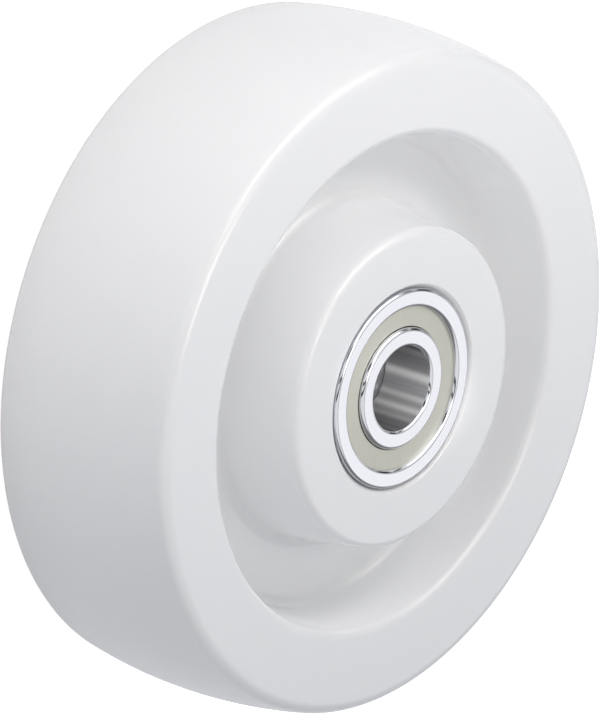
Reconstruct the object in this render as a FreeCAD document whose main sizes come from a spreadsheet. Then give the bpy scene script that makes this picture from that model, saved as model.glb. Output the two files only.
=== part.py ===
import FreeCAD, Part
import math
import os
import Sketcher
from FreeCAD import Placement, Rotation, Vector

# A heavy-duty castor wheel, lying on one end of its hub, with its axle line along Z.
# One cast nylon body turns on two shielded ball bearings, and a tube keeps the bearings apart.
# The wheel's middle is at the origin. All lengths are in millimetres and all angles in degrees.

DIMENSIONS = {
    # cast nylon wheel body
    "wheel_diameter": 160.0,
    "tread_width": 50.0,
    "crown_radius": 120.0,
    "tread_edge_radius": 3.5,
    "rim_opening_diameter": 117.0,
    "rim_draft": 10.0,
    "rim_lip_radius": 2.0,
    "web_thickness": 17.0,
    "recess_corner_radius": 3.0,
    "hub_face_diameter": 75.0,
    "hub_draft": 7.0,
    "hub_corner_radius": 2.0,
    "hub_setback": 0.05,
    "seat_chamfer": 1.2,
    "seat_shoulder": 2.9,
    # over the faces of both bearings
    "hub_length": 60.0,
    # ball bearing rings
    "bearing_bore": 20.0,
    "bearing_outside": 47.0,
    "bearing_width": 14.0,
    "ring_gap": 4.8,
    "ring_corner": 0.8,
    "ring_inner_corner": 0.9,
    "groove_radius": 4.13,
    # shields pressed into the outer rings
    "shield_setback": 0.1,
    "shield_thickness": 0.4,
    "shield_seat_depth": 0.8,
    "shield_gap": 0.15,
    # balls and the riveted cage that spaces them
    "ball_diameter": 7.938,
    "ball_clearance": 0.05,
    "cage_sheet": 0.5,
    "cage_gap": 0.8,
    "pocket_gap": 0.1,
    "rivet_diameter": 1.2,
    "rivet_head_diameter": 1.8,
    "rivet_head_height": 0.4,
    # tube between the inner rings
    "spacer_wall": 3.0,
    "spacer_chamfer": 0.3,
}
BALLS_PER_BEARING = 8
MATCH = 0.001

doc = FreeCAD.newDocument("castor_wheel")
sheet = doc.addObject("Spreadsheet::Sheet", "Sizes")
for row, (alias, number) in enumerate(DIMENSIONS.items(), start=1):
    sheet.set(f"A{row}", alias)
    sheet.set(f"B{row}", str(number))
    sheet.setAlias(f"B{row}", alias)
doc.recompute()


# Formulas over the sheet, shared by the pieces that meet
WHEEL_RADIUS = "(Sizes.wheel_diameter / 2)"
HALF_TREAD = "(Sizes.tread_width / 2)"
CROWN_DEPTH = f"(Sizes.crown_radius - sqrt(pow(Sizes.crown_radius; 2) - pow({HALF_TREAD}; 2)))"
TREAD_EDGE = f"({WHEEL_RADIUS} - {CROWN_DEPTH})"
HALF_WEB = "(Sizes.web_thickness / 2)"
HALF_NYLON_HUB = "(Sizes.hub_length / 2 - Sizes.hub_setback)"
HUB_FACE = "(Sizes.hub_face_diameter / 2)"
HUB_FOOT = f"({HUB_FACE} + ({HALF_NYLON_HUB} - {HALF_WEB}) * tan(Sizes.hub_draft * 1 deg))"
RIM_MOUTH = "(Sizes.rim_opening_diameter / 2)"
RIM_FOOT = f"({RIM_MOUTH} - ({HALF_TREAD} - {HALF_WEB}) * tan(Sizes.rim_draft * 1 deg))"

RING_BORE = "(Sizes.bearing_bore / 2)"
RING_OUTSIDE = "(Sizes.bearing_outside / 2)"
HALF_BEARING = "(Sizes.bearing_width / 2)"
BEARING_CENTRE = f"(Sizes.hub_length / 2 - {HALF_BEARING})"
SPACER_END = "(Sizes.hub_length / 2 - Sizes.bearing_width)"
SEAT_SHOULDER = f"({RING_OUTSIDE} - Sizes.seat_shoulder)"

BALL_RADIUS = "(Sizes.ball_diameter / 2)"
PITCH_RADIUS = f"(({RING_BORE} + {RING_OUTSIDE}) / 2)"
SHOULDER = f"({PITCH_RADIUS} - Sizes.ring_gap / 2)"
LAND = f"({PITCH_RADIUS} + Sizes.ring_gap / 2)"
# a raceway's arc is centred a little past the balls' pitch circle, on the side away from its own bottom
GROOVE_SHIFT = f"(Sizes.groove_radius - {BALL_RADIUS} - Sizes.ball_clearance)"
INNER_GROOVE_CENTRE = f"({PITCH_RADIUS} + {GROOVE_SHIFT})"
OUTER_GROOVE_CENTRE = f"({PITCH_RADIUS} - {GROOVE_SHIFT})"
GROOVE_REACH = f"(Sizes.ring_gap / 2 + {GROOVE_SHIFT})"
HALF_GROOVE = f"sqrt(pow(Sizes.groove_radius; 2) - pow({GROOVE_REACH}; 2))"

SHIELD_FACE = f"({HALF_BEARING} - Sizes.ring_inner_corner - Sizes.shield_setback)"
SHIELD_BACK = f"({SHIELD_FACE} - Sizes.shield_thickness)"
SHIELD_SEAT = f"({LAND} + Sizes.shield_seat_depth)"
SHIELD_INSIDE = f"({SHOULDER} + Sizes.shield_gap)"

CAGE_INSIDE = f"({SHOULDER} + Sizes.cage_gap)"
CAGE_OUTSIDE = f"({LAND} - Sizes.cage_gap)"
POCKET_RADIUS = f"({BALL_RADIUS} + Sizes.pocket_gap)"
POCKET_OUTSIDE = f"({POCKET_RADIUS} + Sizes.cage_sheet)"
# the cylinders that form a pocket run this far past the ribbon on both sides, and are trimmed with it
POCKET_OVERRUN = 1.0


def value(formula):
    """The number that a formula over the sheet has now."""
    return float(sheet.evalExpression(formula))


def new_body(name):
    body = doc.addObject("PartDesign::Body", name)
    body.Label = name
    return body


def section_sketch(body):
    """A sketch on the body's own XZ plane, where x is the radius and y the height along the axle."""
    sketch = body.newObject("Sketcher::SketchObject", body.Name + "_section")
    plane = next(item for item in body.Origin.OriginFeatures if item.Role == "XZ_Plane")
    sketch.AttachmentSupport = (plane, [""])
    sketch.MapMode = "FlatFace"
    return sketch


def arc_between(start, end, radius, hollow):
    """The short arc from start to end on a section drawn anticlockwise, and whether it runs backwards.

    A hollow arc cuts into the piece, and the other kind bulges out of it.
    """
    chord = end - start
    middle = (start + end) / 2
    inward = Vector(-chord.y, chord.x, 0).normalize()
    offset = math.sqrt(radius**2 - (chord.Length / 2) ** 2)
    centre = middle - inward * offset if hollow else middle + inward * offset
    first, last = (end, start) if hollow else (start, end)
    first_angle = math.atan2(first.y - centre.y, first.x - centre.x)
    last_angle = math.atan2(last.y - centre.y, last.x - centre.x)
    if last_angle < first_angle:
        last_angle += 2 * math.pi
    circle = Part.Circle(centre, Vector(0, 0, 1), radius)
    return Part.ArcOfCircle(circle, first_angle, last_angle), hollow


def turned(body, corners, arcs=None):
    """Turn a closed outline of (radius, height) formulas into a solid of revolution about the axle line.

    The corners go anticlockwise. arcs maps a side's number, counted from its first corner,
    to (radius formula, whether it is hollow), and every other side is straight.
    """
    arcs = arcs or {}
    sketch = section_sketch(body)
    points = [Vector(value(across), value(along), 0) for across, along in corners]
    ends = []
    for side, start in enumerate(points):
        end = points[(side + 1) % len(points)]
        if side in arcs:
            radius, hollow = arcs[side]
            curve, backwards = arc_between(start, end, value(radius), hollow)
        else:
            curve, backwards = Part.LineSegment(start, end), False
        sketch.addGeometry(curve, False)
        ends.append((2, 1) if backwards else (1, 2))
    for side, (_, last) in enumerate(ends):
        following = (side + 1) % len(points)
        sketch.addConstraint(Sketcher.Constraint("Coincident", side, last, following, ends[following][0]))
    for side, (across, along) in enumerate(corners):
        first = ends[side][0]
        for kind, formula in (("DistanceX", across), ("DistanceY", along)):
            rule = Sketcher.Constraint(kind, -1, 1, side, first, value(formula))
            number = sketch.addConstraint(rule)
            sketch.setExpression(f"Constraints[{number}]", formula)
    for side, (radius, _) in arcs.items():
        number = sketch.addConstraint(Sketcher.Constraint("Radius", side, value(radius)))
        sketch.setExpression(f"Constraints[{number}]", radius)
    solid = body.newObject("PartDesign::Revolution", body.Name + "_turned")
    solid.Profile = sketch
    solid.ReferenceAxis = (sketch, ["V_Axis"])
    solid.Angle = 360
    sketch.Visibility = False
    doc.recompute()
    return solid


def ring_edges(feature, circles):
    """The names of the feature's round edges at the given (radius, height) formulas."""
    wanted = [(value(across), value(along)) for across, along in circles]
    names = []
    for number, edge in enumerate(feature.Shape.Edges, start=1):
        if not isinstance(edge.Curve, Part.Circle):
            continue
        across, along = edge.Curve.Radius, edge.Curve.Center.z
        if any(abs(across - r) < MATCH and abs(along - z) < MATCH for r, z in wanted):
            names.append(f"Edge{number}")
    if len(names) != len(circles):
        raise ValueError(f"{feature.Name}: found {len(names)} of {len(circles)} edges")
    return names


def both_ends(across, along):
    """The same circle at both ends of a piece that is alike at both."""
    return [(across, along), (across, f"(-{along})")]


def eased(body, base, kind, size_name, formula, circles):
    """Add a fillet or chamfer to round edges of the last feature."""
    feature = body.newObject(f"PartDesign::{kind}", f"{body.Name}_{size_name}")
    feature.Base = (base, ring_edges(base, circles))
    feature.setExpression("Radius" if kind == "Fillet" else "Size", formula)
    doc.recompute()
    return feature


def mirrored_outline(upper):
    """Close an outline that is alike above and below the middle, given its upper half from outside to inside.

    The result goes anticlockwise: the lower half from inside to outside, then the upper half.
    """
    lower = [(across, f"(-{along})") for across, along in reversed(upper)]
    return lower + upper


def place_along_axle(piece, formula, upside_down=False):
    if upside_down:
        piece.Placement = Placement(Vector(0, 0, 0), Rotation(Vector(1, 0, 0), 180))
    piece.setExpression("Placement.Base.z", formula)


def make_wheel_body():
    """The cast nylon wheel: crowned tread, rim, web, drafted hub and a seat for each bearing."""
    body = new_body("wheel_body")
    upper = [
        (TREAD_EDGE, HALF_TREAD),
        (RIM_MOUTH, HALF_TREAD),
        (RIM_FOOT, HALF_WEB),
        (HUB_FOOT, HALF_WEB),
        (HUB_FACE, HALF_NYLON_HUB),
        (RING_OUTSIDE, HALF_NYLON_HUB),
        (RING_OUTSIDE, SPACER_END),
        (SEAT_SHOULDER, SPACER_END),
    ]
    tread_side = len(upper) - 1
    crown = {tread_side: ("Sizes.crown_radius", False)}
    solid = turned(body, mirrored_outline(upper), crown)
    easings = [
        ("Fillet", "tread_edge_radius", both_ends(TREAD_EDGE, HALF_TREAD)),
        ("Fillet", "rim_lip_radius", both_ends(RIM_MOUTH, HALF_TREAD)),
        ("Fillet", "recess_corner_radius", both_ends(RIM_FOOT, HALF_WEB) + both_ends(HUB_FOOT, HALF_WEB)),
        ("Fillet", "hub_corner_radius", both_ends(HUB_FACE, HALF_NYLON_HUB)),
        ("Chamfer", "seat_chamfer", both_ends(RING_OUTSIDE, HALF_NYLON_HUB)),
    ]
    for kind, size_name, circles in easings:
        solid = eased(body, solid, kind, size_name, f"Sizes.{size_name}", circles)
    return body


def make_spacer_tube():
    """The steel tube that keeps the two inner rings apart when the axle bolt is tightened."""
    body = new_body("spacer_tube")
    outside = f"({RING_BORE} + Sizes.spacer_wall)"
    upper = [(outside, SPACER_END), (RING_BORE, SPACER_END)]
    solid = turned(body, mirrored_outline(upper))
    circles = both_ends(outside, SPACER_END) + both_ends(RING_BORE, SPACER_END)
    eased(body, solid, "Chamfer", "chamfer", "Sizes.spacer_chamfer", circles)
    return body


def make_inner_ring(name, centre):
    """The ground inner ring, with its raceway for the balls on the outside."""
    body = new_body(name)
    upper = [(SHOULDER, HALF_GROOVE), (SHOULDER, HALF_BEARING), (RING_BORE, HALF_BEARING)]
    raceway = {len(upper) - 1: ("Sizes.groove_radius", True)}
    solid = turned(body, mirrored_outline(upper), raceway)
    solid = eased(body, solid, "Fillet", "bore_corner", "Sizes.ring_corner", both_ends(RING_BORE, HALF_BEARING))
    shoulders = both_ends(SHOULDER, HALF_BEARING)
    eased(body, solid, "Fillet", "shoulder_corner", "Sizes.ring_inner_corner", shoulders)
    place_along_axle(body, centre)
    return body


def make_outer_ring(name, centre):
    """The ground outer ring, with its raceway and a groove at each end for a shield."""
    body = new_body(name)
    upper = [
        (RING_OUTSIDE, HALF_BEARING),
        (LAND, HALF_BEARING),
        (LAND, SHIELD_FACE),
        (SHIELD_SEAT, SHIELD_FACE),
        (SHIELD_SEAT, SHIELD_BACK),
        (LAND, SHIELD_BACK),
        (LAND, HALF_GROOVE),
    ]
    outline = mirrored_outline(upper)
    raceway = {len(outline) - 1: ("Sizes.groove_radius", True)}
    solid = turned(body, outline, raceway)
    rims = both_ends(RING_OUTSIDE, HALF_BEARING)
    solid = eased(body, solid, "Fillet", "outside_corner", "Sizes.ring_corner", rims)
    lands = both_ends(LAND, HALF_BEARING)
    eased(body, solid, "Fillet", "land_corner", "Sizes.ring_inner_corner", lands)
    place_along_axle(body, centre)
    return body


def make_shield(name, middle):
    """A flat pressed steel washer, held by its rim in the outer ring and just clear of the inner ring."""
    body = new_body(name)
    half = "(Sizes.shield_thickness / 2)"
    turned(body, mirrored_outline([(SHIELD_SEAT, half), (SHIELD_INSIDE, half)]))
    place_along_axle(body, middle)
    return body


def around(piece, radius, angle, height="0"):
    """Put a piece on a circle about the axle line, at an angle in degrees from +X."""
    piece.setExpression("Placement.Base.x", f"{radius} * cos({angle} * 1 deg)")
    piece.setExpression("Placement.Base.y", f"{radius} * sin({angle} * 1 deg)")
    piece.setExpression("Placement.Base.z", height)


def cylinder(name, radius, length):
    piece = doc.addObject("Part::Cylinder", name)
    piece.setExpression("Radius", radius)
    piece.setExpression("Height", length)
    return piece


def radial_cylinder(name, radius, angle):
    """A cylinder that points away from the axle line, through the ribbon of the cage."""
    piece = cylinder(name, radius, f"{CAGE_OUTSIDE} - {CAGE_INSIDE} + {2 * POCKET_OVERRUN}")
    direction = Vector(math.cos(math.radians(angle)), math.sin(math.radians(angle)), 0)
    piece.Placement = Placement(Vector(0, 0, 0), Rotation(Vector(0, 0, 1), direction))
    around(piece, f"({CAGE_INSIDE} - {POCKET_OVERRUN})", angle)
    return piece


def washer(name, height):
    """A ring as wide as the cage's ribbon."""
    outside = cylinder(name + "_outside", CAGE_OUTSIDE, height)
    inside = cylinder(name + "_inside", CAGE_INSIDE, height)
    return combined("Part::Cut", name, outside, inside)


def combined(kind, name, first, second):
    result = doc.addObject(kind, name)
    result.Base = first
    result.Tool = second
    return result


def fused(name, pieces):
    result = doc.addObject("Part::MultiFuse", name)
    result.Shapes = pieces
    return result


def ball_angles():
    return [number * 360 / BALLS_PER_BEARING for number in range(BALLS_PER_BEARING)]


def rivet_angles():
    half_step = 180 / BALLS_PER_BEARING
    return [angle + half_step for angle in ball_angles()]


def make_cage_half(name, centre, upside_down):
    """Half of the pressed ribbon cage: flat lands between the balls, bent over each ball as a pocket."""
    flat = washer(name + "_lands", "Sizes.cage_sheet")
    humps = []
    holes = []
    for i, angle in enumerate(ball_angles()):
        humps.append(radial_cylinder(f"{name}_hump{i}", POCKET_OUTSIDE, angle))
        holes.append(radial_cylinder(f"{name}_hollow{i}", POCKET_RADIUS, angle))
    blank = fused(name + "_blank", [flat] + humps)
    ribbon = combined("Part::Common", name + "_ribbon", blank, washer(name + "_width", POCKET_OUTSIDE))
    for i, angle in enumerate(rivet_angles()):
        hole = cylinder(f"{name}_hole{i}", "Sizes.rivet_diameter / 2", "Sizes.cage_sheet")
        around(hole, PITCH_RADIUS, angle)
        holes.append(hole)
    half = combined("Part::Cut", name, ribbon, fused(name + "_holes", holes))
    half.Label = name
    place_along_axle(half, centre, upside_down)
    return half


def make_rivets(name, centre):
    """The rivets that hold the two halves of one cage together, with a head at each end."""
    rivets = []
    for i, angle in enumerate(rivet_angles()):
        shank = cylinder(f"{name}_shank{i}", "Sizes.rivet_diameter / 2", "2 * Sizes.cage_sheet")
        around(shank, PITCH_RADIUS, angle, f"{centre} - Sizes.cage_sheet")
        upper = cylinder(f"{name}_upper{i}", "Sizes.rivet_head_diameter / 2", "Sizes.rivet_head_height")
        around(upper, PITCH_RADIUS, angle, f"{centre} + Sizes.cage_sheet")
        lower = cylinder(f"{name}_lower{i}", "Sizes.rivet_head_diameter / 2", "Sizes.rivet_head_height")
        around(lower, PITCH_RADIUS, angle, f"{centre} - Sizes.cage_sheet - Sizes.rivet_head_height")
        rivets.append(fused(f"{name}_rivet{i}", [shank, upper, lower]))
    group = doc.addObject("Part::Compound", name)
    group.Label = name
    group.Links = rivets
    return group


def make_ball(name, centre, angle):
    ball = doc.addObject("Part::Sphere", name)
    ball.Label = name
    ball.setExpression("Radius", BALL_RADIUS)
    around(ball, PITCH_RADIUS, angle, centre)
    return ball


def make_bearing(end, sign):
    """All the pieces of one shielded ball bearing, at one end of the hub.

    Its outside faces away from the wheel's middle, and sign is +1 at the upper end and -1 at the lower.
    """
    centre = f"({sign} * {BEARING_CENTRE})"
    shield_middle = f"({SHIELD_FACE} - Sizes.shield_thickness / 2)"
    pieces = [
        make_inner_ring(f"{end}_inner_ring", centre),
        make_outer_ring(f"{end}_outer_ring", centre),
        make_shield(f"{end}_outside_shield", f"{centre} + {sign} * {shield_middle}"),
        make_shield(f"{end}_inside_shield", f"{centre} - {sign} * {shield_middle}"),
        make_cage_half(f"{end}_outside_cage_half", centre, sign < 0),
        make_cage_half(f"{end}_inside_cage_half", centre, sign > 0),
        make_rivets(f"{end}_cage_rivets", centre),
    ]
    for number, angle in enumerate(ball_angles(), start=1):
        pieces.append(make_ball(f"{end}_ball_{number}", centre, angle))
    return pieces


def check_and_export(pieces):
    """Stop if any object failed or any piece isn't a sound solid, then write one file for each piece."""
    doc.recompute()
    failed = [item.Name for item in doc.Objects if {"Invalid", "Error"} & set(item.State)]
    if failed:
        raise RuntimeError(f"failed objects: {failed}")
    for piece in pieces:
        shape = piece.Shape
        if shape.isNull() or not shape.isValid() or not shape.Solids:
            raise RuntimeError(f"{piece.Label} has no sound solid")
    os.makedirs("parts", exist_ok=True)
    for piece in pieces:
        piece.Shape.exportStep(f"parts/{piece.Label}.step")
        print(f"{piece.Label}: {len(piece.Shape.Solids)} solid(s)")


parts = [make_wheel_body(), make_spacer_tube()]
for end_name, direction in (("upper", 1), ("lower", -1)):
    parts += make_bearing(end_name, direction)
check_and_export(parts)
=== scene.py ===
import math

import bmesh
import bpy
from mathutils import Matrix, Vector


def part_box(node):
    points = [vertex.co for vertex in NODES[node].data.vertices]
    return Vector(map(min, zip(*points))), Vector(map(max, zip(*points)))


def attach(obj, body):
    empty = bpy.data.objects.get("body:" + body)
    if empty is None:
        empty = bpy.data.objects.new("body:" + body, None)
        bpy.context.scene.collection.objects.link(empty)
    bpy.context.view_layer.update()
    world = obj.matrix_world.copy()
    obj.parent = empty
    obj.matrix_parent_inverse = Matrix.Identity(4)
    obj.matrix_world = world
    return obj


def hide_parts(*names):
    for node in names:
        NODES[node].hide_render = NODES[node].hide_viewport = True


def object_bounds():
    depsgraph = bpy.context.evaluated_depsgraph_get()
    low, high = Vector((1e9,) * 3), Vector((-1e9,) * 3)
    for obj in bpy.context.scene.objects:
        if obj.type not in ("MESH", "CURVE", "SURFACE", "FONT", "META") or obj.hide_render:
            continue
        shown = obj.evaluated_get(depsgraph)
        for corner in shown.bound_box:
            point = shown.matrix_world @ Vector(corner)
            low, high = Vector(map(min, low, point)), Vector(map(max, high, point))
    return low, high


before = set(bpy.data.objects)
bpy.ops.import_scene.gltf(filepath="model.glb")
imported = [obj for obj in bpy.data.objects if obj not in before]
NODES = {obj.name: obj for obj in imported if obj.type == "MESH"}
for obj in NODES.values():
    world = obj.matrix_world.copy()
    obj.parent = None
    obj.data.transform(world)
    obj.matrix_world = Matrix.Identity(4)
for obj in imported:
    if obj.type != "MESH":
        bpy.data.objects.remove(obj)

cad_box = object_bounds()

MM = 0.001

# Sizes read from the frame
HUB_FACE_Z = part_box("wheel_body")[1].z
RING_LOW, RING_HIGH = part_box("upper_outer_ring")
RING_FACE_Z = RING_HIGH.z
BEARING_WIDTH = RING_HIGH.z - RING_LOW.z
BEARING_MIDDLE_Z = (RING_HIGH.z + RING_LOW.z) / 2
SHIELD_LOW, SHIELD_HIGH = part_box("upper_outside_shield")
SHIELD_TOP_Z = SHIELD_HIGH.z
SHIELD_UNDER_Z = SHIELD_LOW.z
SPACER_END_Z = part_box("spacer_tube")[1].z
FLOOR_Z = cad_box[0].z

# Sizes that the frame's boxes don't give exactly, the same as in the part
WHEEL_RADIUS = 80.0 * MM
HALF_TREAD = 25.0 * MM
CROWN_RADIUS = 120.0 * MM
TREAD_EDGE_RADIUS = 3.5 * MM
RIM_MOUTH = 58.5 * MM
RIM_DRAFT = math.radians(10)
RIM_LIP_RADIUS = 2.0 * MM
HALF_WEB = 8.5 * MM
RECESS_CORNER_RADIUS = 3.0 * MM
HUB_FACE_RADIUS = 37.5 * MM
HUB_DRAFT = math.radians(7)
HUB_CORNER_RADIUS = 2.0 * MM
SEAT_CHAMFER = 1.2 * MM
SEAT_EDGE_RADIUS = 0.2 * MM
SEAT_SHOULDER = 2.9 * MM
RING_BORE = 10.0 * MM
RING_OUTSIDE = 23.5 * MM
SHOULDER = 14.35 * MM
LAND = 19.15 * MM
RING_CORNER = 0.8 * MM
RING_INNER_CORNER = 0.9 * MM
SHIELD_SEAT = 19.95 * MM
SHIELD_INSIDE = 14.5 * MM
SHIELD_EDGE_RADIUS = 0.15 * MM
SPACER_OUTSIDE = 13.0 * MM
SPACER_CHAMFER = 0.3 * MM
PITCH_RADIUS = 16.75 * MM
GROOVE_RADIUS = 4.13 * MM
BALL_RADIUS = 3.969 * MM
BALL_CLEARANCE = 0.05 * MM

# The camera, measured from the photo: the axle line is turned away from the view, which looks down a little
AXLE_TURN = math.radians(49.77)
LOOK_DOWN = math.radians(21.84)
LENS = 1400.0
SENSOR = 36.0
CAMERA_DISTANCE = 6.32
PHOTO_SIZE = (600, 714)
WHEEL_AT = (302.0, 357.3)
PIXELS_PER_METRE = LENS / SENSOR * PHOTO_SIZE[1] / CAMERA_DISTANCE

# How finely the sections are divided
SPIN_STEPS = 256
CROWN_STEPS = 24
GROOVE_STEPS = 12
TREAD_EDGE_STEPS = 10
BODY_CORNER_STEPS = 8
RING_CORNER_STEPS = 6
SHIELD_EDGE_STEPS = 4
SEAT_EDGE_STEPS = 3
WELD_DISTANCE = 0.0005 * MM

# Depth of the lines that grinding and turning leave
LINE_DEPTH = 0.01 * MM


def linear(code):
    """An sRGB hex colour such as F1F1F2, as linear RGBA."""
    def channel(level):
        return level / 12.92 if level <= 0.04045 else ((level + 0.055) / 1.055) ** 2.4

    return tuple(channel(int(code[i:i + 2], 16) / 255) for i in (0, 2, 4)) + (1.0,)


def add(tree, kind, inputs=None, **settings):
    """Add a node with its settings. An input is a value, or another node's output that is linked to it."""
    made = tree.nodes.new(kind)
    for name, setting in settings.items():
        setattr(made, name, setting)
    for name, source in (inputs or {}).items():
        if isinstance(source, bpy.types.NodeSocket):
            tree.links.new(source, made.inputs[name])
        else:
            made.inputs[name].default_value = source
    return made


def calc(tree, operation, *levels, **settings):
    """The result of one Math node. A level is a number or another node's output."""
    return add(tree, "ShaderNodeMath", dict(enumerate(levels)), operation=operation, **settings).outputs[0]


def dot(tree, heading, towards):
    """How far a direction agrees with another one, from -1 to 1."""
    facing = add(tree, "ShaderNodeVectorMath", {0: heading, 1: towards}, operation="DOT_PRODUCT")
    return facing.outputs["Value"]


def place_on(tree):
    """The place on the piece, in its own metres."""
    return add(tree, "ShaderNodeTexCoord").outputs["Object"]


def noise(tree, place, grain, detail):
    """Smooth noise from 0 to 1, with spots about as wide as the grain."""
    return add(tree, "ShaderNodeTexNoise", {
        "Vector": place, "Scale": 1 / grain, "Detail": detail,
    }).outputs["Fac"]


def spread(tree, share, low, high):
    """A share from 0 to 1, carried over to the range from low to high."""
    return add(tree, "ShaderNodeMapRange", {
        "Value": share, "To Min": low, "To Max": high,
    }).outputs["Result"]


def blend(tree, share, first, second):
    """A colour between two others."""
    return add(tree, "ShaderNodeMix", {
        "Factor": share, "A": first, "B": second,
    }, data_type="RGBA").outputs["Result"]


def stretched(tree, place, scale):
    """The same place with each axis scaled, so that a pattern grows long along one of them."""
    return add(tree, "ShaderNodeMapping", {"Vector": place, "Scale": scale}).outputs["Vector"]


def new_material(name, shader_inputs):
    """A material with one Principled shader, ready for its pattern."""
    material = bpy.data.materials.new(name)
    material.use_nodes = True
    tree = material.node_tree
    tree.nodes.clear()
    shader = add(tree, "ShaderNodeBsdfPrincipled", shader_inputs)
    add(tree, "ShaderNodeOutputMaterial", {"Surface": shader.outputs["BSDF"]})
    return material, tree, shader


def feed(tree, shader, **sources):
    """Link patterns to the shader's inputs, named with underscores."""
    for name, source in sources.items():
        tree.links.new(source, shader.inputs[name.replace("_", " ")])


def cast_nylon():
    """Cast and skimmed nylon: milky white, satin, with a very slight unevenness from casting."""
    material, tree, shader = new_material("cast_nylon", {
        "IOR": 1.53,
        "Subsurface Weight": 0.25,
        "Subsurface Radius": (1.0, 1.0, 1.1),
        "Subsurface Scale": 2.0 * MM,
    })
    place = place_on(tree)
    cloud = noise(tree, place, 14 * MM, 3.0)
    grain = noise(tree, place, 0.9 * MM, 2.0)
    bump = add(tree, "ShaderNodeBump", {"Height": grain, "Strength": 0.08, "Distance": 0.02 * MM})
    feed(tree, shader,
         Base_Color=blend(tree, cloud, linear("F7F7F8"), linear("FAFAFA")),
         Roughness=spread(tree, cloud, 0.2, 0.26),
         Normal=bump.outputs["Normal"])
    return material


def turned_lines(tree, pitch, strength, depth):
    """Fine rings about the axle line, as grinding or turning leaves on a face."""
    flat = add(tree, "ShaderNodeVectorMath", {0: place_on(tree), 1: (1.0, 1.0, 0.0)}, operation="MULTIPLY")
    away = add(tree, "ShaderNodeVectorMath", {0: flat.outputs["Vector"]}, operation="LENGTH")
    steps = add(tree, "ShaderNodeTexNoise", {"W": away.outputs["Value"], "Scale": 1 / pitch, "Detail": 2.0},
                noise_dimensions="1D")
    return add(tree, "ShaderNodeBump", {
        "Height": steps.outputs["Fac"], "Strength": strength, "Distance": depth,
    }).outputs["Normal"]


def ground_steel():
    """Ground bearing steel: bright flat faces with fine grinding lines round the axle."""
    material, tree, shader = new_material("ground_bearing_steel", {
        "Base Color": linear("F6F6FB"), "Metallic": 1.0, "Roughness": 0.24,
    })
    feed(tree, shader, Normal=turned_lines(tree, 0.3 * MM, 0.2, LINE_DEPTH))
    return material


def polished_steel():
    """The rings' tumbled corners, as bright as a mirror."""
    material, tree, shader = new_material("polished_ring_corner", {
        "Base Color": linear("D8D9DE"), "Metallic": 1.0, "Roughness": 0.07,
    })
    feed(tree, shader, Normal=turned_lines(tree, 0.2 * MM, 0.1, LINE_DEPTH))
    return material


def plated_sheet():
    """Matt plated sheet of the shields: beige grey, with faint draw lines from the strip."""
    material, tree, shader = new_material("matt_plated_sheet", {"Metallic": 0.9, "Roughness": 0.55})
    streak = noise(tree, stretched(tree, place_on(tree), (1.0, 0.12, 1.0)), 0.6 * MM, 3.0)
    feed(tree, shader, Base_Color=blend(tree, streak, linear("CECEC4"), linear("D5D5CD")))
    return material


def round_wave(tree, angle, count, crest, sharpness):
    """A wave round the axle line, from 0 to 1, with this many crests, one of them at the angle crest.
    A higher sharpness makes its crests narrower."""
    turns = calc(tree, "MULTIPLY_ADD", angle, float(count), -count * math.radians(crest))
    swing = calc(tree, "COSINE", turns)
    lifted = calc(tree, "MULTIPLY_ADD", swing, 0.5, 0.5)
    return calc(tree, "POWER", lifted, sharpness)


def bored_steel():
    """The bore of the rings and the tube: grey steel with hone marks along its length. Its long pale streaks
    round the axle line are painted reflections, and it is painted darker on two opposite sides as painted
    shade.
    """
    material, tree, shader = new_material("bored_steel", {"Metallic": 0.3})
    place = place_on(tree)
    part = add(tree, "ShaderNodeSeparateXYZ", {"Vector": place})
    angle = calc(tree, "ARCTAN2", part.outputs["Y"], part.outputs["X"])
    fine = noise(tree, stretched(tree, place, (1.0, 1.0, 0.03)), 1.4 * MM, 2.0)
    # painted reflections: broad and close pale streaks round the axle line, where a bright opening would be
    # mirrored; the fine noise is lengthwise grain
    broad = round_wave(tree, angle, 8, -7, 7.0)
    close = round_wave(tree, angle, 11, -35, 6.0)
    broad_share, close_share, fine_share = 0.55, 0.3, 0.3
    streak = calc(tree, "MULTIPLY", broad, broad_share)
    streak = calc(tree, "MULTIPLY_ADD", close, close_share, streak)
    streak = calc(tree, "MULTIPLY_ADD", fine, fine_share, streak, use_clamp=True)
    # painted reflections: grey steel lightened towards white along the streaks
    painted_streak_tone = blend(tree, streak, linear("868689"), linear("FFFFFF"))
    # painted shade: darker on two opposite sides, darkest at 65 and -115 degrees round the axle line
    painted_shade_bands = round_wave(tree, angle, 2, -25, 0.8)
    feed(tree, shader,
         Base_Color=blend(tree, painted_shade_bands, linear("303033"), painted_streak_tone),
         Roughness=spread(tree, streak, 0.4, 0.28))
    return material


def joint_steel():
    """The tube's small chamfers where it meets the rings, painted dark against the bore as painted shade in
    the groove.
    """
    material, tree, shader = new_material("painted_shade_joint", {
        "Base Color": linear("808084"), "Metallic": 0.3, "Roughness": 0.6,
    })
    feed(tree, shader, Normal=turned_lines(tree, 0.2 * MM, 0.1, LINE_DEPTH))
    return material


def pressed_strip():
    """Bright pressed steel strip of the cages and their rivets."""
    material, tree, shader = new_material("pressed_strip_steel", {
        "Base Color": linear("B9B9BC"), "Metallic": 1.0,
    })
    spots = noise(tree, place_on(tree), 1.5 * MM, 3.0)
    feed(tree, shader, Roughness=spread(tree, spots, 0.25, 0.4))
    return material


def lapped_steel():
    """Lapped balls: a clean mirror, with the faintest haze."""
    material, tree, shader = new_material("lapped_ball_steel", {
        "Base Color": linear("D2D2D6"), "Metallic": 1.0,
    })
    haze = noise(tree, place_on(tree), 2.0 * MM, 2.0)
    feed(tree, shader, Roughness=spread(tree, haze, 0.04, 0.09))
    return material


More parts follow.
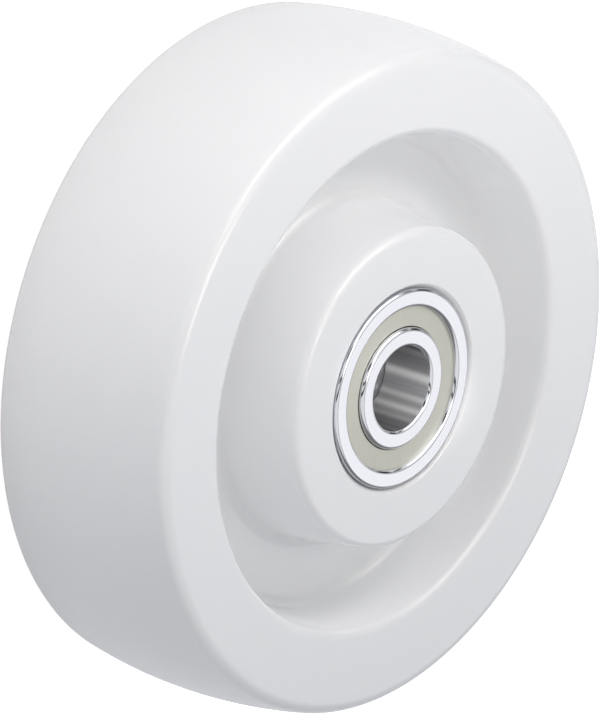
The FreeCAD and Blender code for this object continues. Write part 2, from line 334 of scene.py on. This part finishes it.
NYLON = cast_nylon()
GROUND = ground_steel()
POLISHED = polished_steel()
SHEET = plated_sheet()
BORED = bored_steel()
JOINT = joint_steel()
STRIP = pressed_strip()
LAPPED = lapped_steel()


def arc_points(start, end, radius, centre_side, count):
    """Points between two corners of a section, on the arc of that radius. centre_side is +1 for a centre
    to the left of the way from start to end, and -1 for one to the right."""
    start, end = Vector(start), Vector(end)
    middle = (start + end) / 2
    chord = end - start
    left = Vector((-chord.y, chord.x)).normalized()
    centre = middle + left * centre_side * math.sqrt(radius**2 - (chord.length / 2) ** 2)
    first = start - centre
    sweep = first.angle_signed(end - centre) * -1
    points = []
    for step in range(1, count):
        turn = sweep * step / count
        points.append((
            centre.x + first.x * math.cos(turn) - first.y * math.sin(turn),
            centre.y + first.x * math.sin(turn) + first.y * math.cos(turn),
        ))
    return points


def put(name, data):
    """A new object in the scene."""
    made = bpy.data.objects.new(name, data)
    bpy.context.scene.collection.objects.link(made)
    return made


def revolve(name, outline, body, materials, node, pick=None):
    """Spin a closed section into a piece that stands in for a node of the frame. The outline holds (radius,
    height, corner radius, segments), and pick gives each face the number of its material."""
    mesh = bmesh.new()
    corners = [mesh.verts.new((across, 0.0, along)) for across, along, *_ in outline]
    for here, there in zip(corners, corners[1:] + corners[:1]):
        mesh.edges.new((here, there))
    count = len(corners)
    for index, (_, _, round_radius, segments) in enumerate(outline):
        if not round_radius:
            continue
        back = Vector(outline[index - 1][:2]) - Vector(outline[index][:2])
        ahead = Vector(outline[(index + 1) % count][:2]) - Vector(outline[index][:2])
        reach = round_radius / math.tan(back.angle(ahead) / 2)
        bmesh.ops.bevel(mesh, geom=[corners[index]], offset=reach, offset_type="OFFSET", segments=segments,
                        profile=0.5, affect="VERTICES", material=-1)
    bmesh.ops.spin(mesh, geom=mesh.verts[:] + mesh.edges[:], axis=(0, 0, 1), cent=(0, 0, 0),
                   angle=2 * math.pi, steps=SPIN_STEPS, use_merge=True)
    bmesh.ops.remove_doubles(mesh, verts=mesh.verts[:], dist=WELD_DISTANCE)
    bmesh.ops.recalc_face_normals(mesh, faces=mesh.faces[:])
    for face in mesh.faces:
        face.smooth = True
        if pick:
            face.material_index = pick(face)
    data = bpy.data.meshes.new(name)
    mesh.to_mesh(data)
    mesh.free()
    piece = put(name, data)
    for material in materials:
        data.materials.append(material)
    piece.modifiers.new("even_shading", "WEIGHTED_NORMAL")
    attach(piece, body)
    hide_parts(node)


def mirrored(upper):
    """Close a section that is alike above and below the middle, from its upper half, outside to inside."""
    lower = [(across, -along, *rest) for across, along, *rest in reversed(upper)]
    return lower + upper


def make_wheel():
    """The nylon casting: crowned tread, rim, web, drafted hub, and a seat for each bearing."""
    crown_depth = CROWN_RADIUS - math.sqrt(CROWN_RADIUS**2 - HALF_TREAD**2)
    tread_edge = WHEEL_RADIUS - crown_depth
    hub_foot = HUB_FACE_RADIUS + (HUB_FACE_Z - HALF_WEB) * math.tan(HUB_DRAFT)
    rim_foot = RIM_MOUTH - (HALF_TREAD - HALF_WEB) * math.tan(RIM_DRAFT)
    upper = [
        (tread_edge, HALF_TREAD, TREAD_EDGE_RADIUS, TREAD_EDGE_STEPS),
        (RIM_MOUTH, HALF_TREAD, RIM_LIP_RADIUS, BODY_CORNER_STEPS),
        (rim_foot, HALF_WEB, RECESS_CORNER_RADIUS, BODY_CORNER_STEPS),
        (hub_foot, HALF_WEB, RECESS_CORNER_RADIUS, BODY_CORNER_STEPS),
        (HUB_FACE_RADIUS, HUB_FACE_Z, HUB_CORNER_RADIUS, BODY_CORNER_STEPS),
        (RING_OUTSIDE + SEAT_CHAMFER, HUB_FACE_Z, SEAT_EDGE_RADIUS, SEAT_EDGE_STEPS),
        (RING_OUTSIDE, HUB_FACE_Z - SEAT_CHAMFER, 0, 0),
        (RING_OUTSIDE, SPACER_END_Z, 0, 0),
        (RING_OUTSIDE - SEAT_SHOULDER, SPACER_END_Z, 0, 0),
    ]
    crown = arc_points((tread_edge, -HALF_TREAD), (tread_edge, HALF_TREAD), CROWN_RADIUS, 1, CROWN_STEPS)
    outline = mirrored(upper)
    half = len(upper)
    outline = outline[:half] + [(r, z, 0, 0) for r, z in crown] + outline[half:]
    revolve("nylon_wheel", outline, "wheel", [NYLON], "wheel_body")


def flat_or_round(face):
    """0 for a flat end face and 1 for a corner or a side."""
    flat_above = 0.9999
    return 0 if abs(face.normal.z) > flat_above else 1


def make_rings(end, sign):
    """Both rings of the bearing at one end."""
    middle = sign * BEARING_MIDDLE_Z
    half = BEARING_WIDTH / 2
    # each groove's centre lies past the pitch circle, so that its bottom clears the balls
    shift = GROOVE_RADIUS - BALL_RADIUS - BALL_CLEARANCE
    reach = PITCH_RADIUS - SHOULDER + shift
    half_groove = math.sqrt(GROOVE_RADIUS**2 - reach**2)
    inner = [
        (SHOULDER, half_groove, 0, 0),
        (SHOULDER, half, RING_INNER_CORNER, RING_CORNER_STEPS),
        (RING_BORE, half, RING_CORNER, RING_CORNER_STEPS),
    ]
    outline = mirrored(inner)
    groove = arc_points((SHOULDER, -half_groove), (SHOULDER, half_groove), GROOVE_RADIUS, -1, GROOVE_STEPS)
    outline = outline[:3] + [(r, z, 0, 0) for r, z in groove] + outline[3:]
    revolve(f"{end}_bearing_inner_race", at_height(outline, middle), "axle_sleeve",
            [GROUND, POLISHED, BORED], f"{end}_inner_ring", inner_ring_finish)
    face = SHIELD_TOP_Z - BEARING_MIDDLE_Z
    back = SHIELD_UNDER_Z - BEARING_MIDDLE_Z
    outer = [
        (RING_OUTSIDE, half, RING_CORNER, RING_CORNER_STEPS),
        (LAND, half, RING_INNER_CORNER, RING_CORNER_STEPS),
        (LAND, face, 0, 0),
        (SHIELD_SEAT, face, 0, 0),
        (SHIELD_SEAT, back, 0, 0),
        (LAND, back, 0, 0),
        (LAND, half_groove, 0, 0),
    ]
    outline = mirrored(outer)
    groove = arc_points((LAND, half_groove), (LAND, -half_groove), GROOVE_RADIUS, -1, GROOVE_STEPS)
    outline = outline + [(r, z, 0, 0) for r, z in groove]
    revolve(f"{end}_bearing_outer_race", at_height(outline, middle), "wheel",
            [GROUND, POLISHED], f"{end}_outer_ring", flat_or_round)


def inner_ring_finish(face):
    """0 for the ground end faces, 1 for the polished corners, and 2 for the bore with its hone marks. The
    bore's corner on the tube's side also gets 2, so that the bore's darker finish stands there as painted
    shade in the groove."""
    bore, margin = 2, 0.02 * MM
    centre = face.calc_center_median()
    on_open_side = abs(centre.z) > BEARING_MIDDLE_Z
    # on the tube's side the bore's finish reaches over the corner: painted shade in the groove
    bore_reach = RING_BORE + (margin if on_open_side else RING_CORNER)
    if centre.xy.length < bore_reach:
        return bore
    return flat_or_round(face)


def tube_finish(face):
    """0 for the tube's walls and 1 for its ends and their chamfers."""
    wall_below = 0.1
    return 0 if abs(face.normal.z) < wall_below else 1


def at_height(outline, height):
    """Move a section along the axle line."""
    return [(across, along + height, *rest) for across, along, *rest in outline]


def make_shields(end, sign):
    """Both shields of the bearing at one end, equally far from its middle."""
    thickness = SHIELD_TOP_Z - SHIELD_UNDER_Z
    outside = sign * (SHIELD_TOP_Z + SHIELD_UNDER_Z) / 2
    inside = sign * 2 * BEARING_MIDDLE_Z - outside
    for side, height in (("outside", outside), ("inside", inside)):
        outline = mirrored([
            (SHIELD_SEAT, thickness / 2, 0, 0),
            (SHIELD_INSIDE, thickness / 2, SHIELD_EDGE_RADIUS, SHIELD_EDGE_STEPS),
        ])
        revolve(f"{end}_{side}_dust_shield", at_height(outline, height), "wheel", [SHEET],
                f"{end}_{side}_shield")


def make_spacer():
    """The tube that keeps the two inner rings apart."""
    outline = mirrored([
        (SPACER_OUTSIDE, SPACER_END_Z, SPACER_CHAMFER, 1),
        (RING_BORE, SPACER_END_Z, SPACER_CHAMFER, 1),
    ])
    # the tube's ends and chamfers take the joint's painted shade
    revolve("bearing_spacer", outline, "axle_sleeve", [BORED, JOINT], "spacer_tube",
            tube_finish)


def finish_hidden_pieces():
    """The balls and cages keep their own shapes and get their finish."""
    for name, node in NODES.items():
        if "_ball_" in name:
            material = LAPPED
        elif "cage" in name:
            material = STRIP
        else:
            continue
        node.data.materials.clear()
        node.data.materials.append(material)


make_wheel()
make_spacer()
for end_name, direction in (("upper", 1), ("lower", -1)):
    make_rings(end_name, direction)
    make_shields(end_name, direction)
finish_hidden_pieces()


def camera_axes():
    """The camera's right, up and forward in the row's frame. The photo's up is the row's +Y."""
    right = Vector((math.cos(AXLE_TURN), 0.0, math.sin(AXLE_TURN)))
    forward = Vector((
        math.cos(LOOK_DOWN) * math.sin(AXLE_TURN),
        -math.sin(LOOK_DOWN),
        -math.cos(LOOK_DOWN) * math.cos(AXLE_TURN),
    ))
    return right, right.cross(forward), forward


def make_camera():
    """A long lens, far off, aimed so that the wheel's middle falls where the photo has it."""
    right, up, forward = camera_axes()
    data = bpy.data.cameras.new("camera")
    data.lens = LENS
    data.sensor_width = SENSOR
    data.clip_start = 0.5
    data.clip_end = 50.0
    camera = put("camera", data)
    off_right = (PHOTO_SIZE[0] / 2 - WHEEL_AT[0]) / PIXELS_PER_METRE
    off_down = (PHOTO_SIZE[1] / 2 - WHEEL_AT[1]) / PIXELS_PER_METRE
    aim = right * off_right - up * off_down
    camera.matrix_world = Matrix((right, up, -forward)).transposed().to_4x4()
    camera.location = aim - forward * CAMERA_DISTANCE
    bpy.context.scene.camera = camera


def lobe(tree, heading, towards, power, colour):
    """Light that is strongest from one side and fades to nothing on the other."""
    share = calc(tree, "MULTIPLY_ADD", dot(tree, heading, towards), 0.5, 0.5)
    fade = calc(tree, "POWER", share, power)
    return add(tree, "ShaderNodeBackground", {"Color": colour, "Strength": fade}).outputs[0]


def patch(tree, heading, middle, half_angle, softness):
    """1 inside a round patch of the sky and 0 outside it, with a soft edge. Its angles are in degrees."""
    edge = add(tree, "ShaderNodeMapRange", {
        "Value": dot(tree, heading, Vector(middle).normalized()),
        "From Min": math.cos(math.radians(half_angle + softness)),
        "From Max": math.cos(math.radians(half_angle - softness)),
    }, interpolation_type="SMOOTHSTEP")
    return edge.outputs["Result"]


def strip(tree, heading, start, end, half_width):
    """1 inside a long strip of the sky between two directions, and 0 outside it. Half its width is in
    degrees, and its edges are soft."""
    end_softness = 4
    start, end = Vector(start).normalized(), Vector(end).normalized()
    off = calc(tree, "ABSOLUTE", dot(tree, heading, start.cross(end).normalized()))
    width = math.sin(math.radians(half_width))
    near = add(tree, "ShaderNodeMapRange", {
        "Value": off, "From Min": width * 1.5, "From Max": width * 0.5,
    }, interpolation_type="SMOOTHSTEP")
    within = patch(tree, heading, start + end, math.degrees(start.angle(end)) / 2, end_softness)
    return calc(tree, "MULTIPLY", near.outputs["Result"], within)


def shader_sum(tree, shaders):
    """Light from several sources at once."""
    total = shaders[0]
    for shader in shaders[1:]:
        total = add(tree, "ShaderNodeAddShader", {0: total, 1: shader}).outputs[0]
    return total


def layered(tree, base, layers):
    """Lay colours over a base, each through its own mask."""
    colour = base
    for mask, over in layers:
        colour = blend(tree, mask, colour, over)
    return colour


def grey(level):
    """A neutral colour, with 1 for white."""
    return (level, level, level, 1)


def ray_kinds(tree):
    """1 for rays that polished faces mirror, and 1 for rays that come from the camera or through glass."""
    path = add(tree, "ShaderNodeLightPath")
    direct = calc(tree, "MAXIMUM", path.outputs["Is Camera Ray"], path.outputs["Is Transmission Ray"])
    return path.outputs["Is Glossy Ray"], direct


# Where a flat face on the wheel's front sends the camera's sight line
FACE_MIRRORS = (0.71, -0.37, 0.60)


def make_world():
    """A pale studio. It is white behind the object, lights it softly from below and a little from the right,
    and shows polished metal a plain room instead."""
    world = bpy.data.worlds.new("studio")
    world.use_nodes = True
    tree = world.node_tree
    tree.nodes.clear()
    heading = add(tree, "ShaderNodeTexCoord").outputs["Generated"]
    soft = shader_sum(tree, [
        lobe(tree, heading, (1, 0, 0), 2.0, (0.07, 0.11, 0.21, 1)),
        lobe(tree, heading, (0, -1, 0), 2.0, (0.92, 0.93, 0.95, 1)),
    ])
    # what polished metal mirrors: a grey room with a white ceiling, a bright window in it, and dark screens
    window_light = (4.0, 3.9, 3.7, 1)
    card_light = (0.98, 0.98, 1.0, 1)
    ceiling = patch(tree, heading, (-0.20, 0.70, 0.68), 90, 3)
    window = patch(tree, heading, (-0.08, 0.64, 0.76), 12, 5)
    low_card = patch(tree, heading, (0.95, -0.26, 0.17), 13, 4)
    upper_left_screen = strip(tree, heading, (-0.75, 0.66, 0.0), (-0.41, 0.54, 0.73), 7)
    left_screen = strip(tree, heading, (-1.0, -0.04, 0.03), (-0.12, -0.02, 0.99), 4)
    left_shade = strip(tree, heading, (-0.96, 0.26, 0.01), (-0.24, 0.08, 0.97), 3)
    right_screen = strip(tree, heading, (0.94, 0.34, 0.07), (0.84, 0.10, 0.53), 8)
    upper_right_shade = strip(tree, heading, (0.71, 0.70, 0.0), (0.74, 0.25, 0.62), 5)
    card_frame = patch(tree, heading, FACE_MIRRORS, 26, 3)
    card = patch(tree, heading, FACE_MIRRORS, 17, 3)
    colour = layered(tree, grey(0.24), [
        (ceiling, grey(1.0)),
        (window, window_light),
        (low_card, grey(1.0)),
        (upper_left_screen, grey(0.03)),
        (left_screen, grey(0.03)),
        (left_shade, grey(0.12)),
        (right_screen, grey(0.04)),
        (upper_right_shade, grey(0.2)),
        (card_frame, grey(0.12)),
        (card, card_light),
    ])
    mirrored_room = add(tree, "ShaderNodeBackground", {"Color": colour, "Strength": 1.0})
    white = add(tree, "ShaderNodeBackground", {"Color": grey(1.0), "Strength": 1.0})
    glossy, direct = ray_kinds(tree)
    lit = add(tree, "ShaderNodeMixShader", {0: glossy, 1: soft, 2: mirrored_room.outputs[0]})
    both = add(tree, "ShaderNodeMixShader", {0: direct, 1: lit.outputs[0], 2: white.outputs[0]})
    add(tree, "ShaderNodeOutputWorld", {"Surface": both.outputs[0]})
    bpy.context.scene.world = world


def make_floor():
    """A white table top at the wheel's foot. It glows where it is seen or mirrored, and keeps the shadow."""
    size = 8.0
    mesh = bmesh.new()
    bmesh.ops.create_grid(mesh, x_segments=1, y_segments=1, size=size / 2)
    data = bpy.data.meshes.new("floor")
    mesh.to_mesh(data)
    mesh.free()
    floor = put("floor", data)
    floor.location.z = FLOOR_Z
    material = bpy.data.materials.new("white_table")
    material.use_nodes = True
    tree = material.node_tree
    tree.nodes.clear()
    matt = add(tree, "ShaderNodeBsdfDiffuse", {"Color": linear("E6E6E6")})
    seen_glow, mirrored_glow = 0.8, 0.3
    glossy, direct = ray_kinds(tree)
    share = calc(tree, "MULTIPLY_ADD", glossy, mirrored_glow / seen_glow, direct)
    level = calc(tree, "MULTIPLY", share, seen_glow)
    glow = add(tree, "ShaderNodeEmission", {"Color": grey(1.0), "Strength": level})
    both = add(tree, "ShaderNodeAddShader", {0: matt.outputs[0], 1: glow.outputs[0]})
    add(tree, "ShaderNodeOutputMaterial", {"Surface": both.outputs[0]})
    data.materials.append(material)


def point_lamp(light, backwards):
    """Turn a lamp so that it shines away from this direction."""
    light.rotation_mode = "QUATERNION"
    light.rotation_quaternion = backwards.to_track_quat("Z", "Y")


def make_softbox(name, place, size, power, colour, leaves_highlight=True):
    """A softbox that faces the wheel's middle."""
    data = bpy.data.lights.new(name, "AREA")
    data.shape = "RECTANGLE"
    data.size, data.size_y = size
    data.energy = power
    data.color = colour
    light = put(name, data)
    light.location = place
    point_lamp(light, Vector(place))
    light.visible_glossy = leaves_highlight


def make_bore_lamp():
    """A narrow beam from the camera's side, little wider than the bore, so that its wall with hone marks and
    painted streaks shows.
    """
    mouth = Vector((0.0, 0.0, RING_FACE_Z))
    reach = 0.4
    beam_radius = 1.4 * RING_BORE
    data = bpy.data.lights.new("bore_lamp", "SPOT")
    data.spot_size = 2 * math.atan(beam_radius / reach)
    data.spot_blend = 0.3
    data.shadow_soft_size = 0.005
    data.energy = 5.0
    light = put("bore_lamp", data)
    towards_camera = -camera_axes()[2]
    light.location = mouth + towards_camera * reach
    point_lamp(light, towards_camera)
    light.visible_glossy = False


make_camera()
make_world()
make_floor()
# Softboxes: place and size in metres, watts, colour
make_softbox("top_softbox", (0.10, 0.31, 0.27), (0.36, 0.14), 0.655, (1.0, 0.98, 0.96))
make_softbox("upper_left_softbox", (-0.22, 0.30, 0.10), (0.24, 0.24), 0.335, (1.0, 0.99, 0.97), False)
make_softbox("front_softbox", (0, 0.05, 0.40), (0.12, 0.12), 0.23, (1.0, 0.97, 0.89))
make_softbox("left_softbox", (-0.36, 0.15, 0.10), (0.24, 0.24), 0.165, (0.94, 0.95, 1.0), False)
make_softbox("right_softbox", (0.34, 0.12, 0.22), (0.24, 0.24), 0.185, (1.0, 0.99, 0.91), False)
make_bore_lamp()
bpy.context.scene.view_settings.view_transform = "Standard"
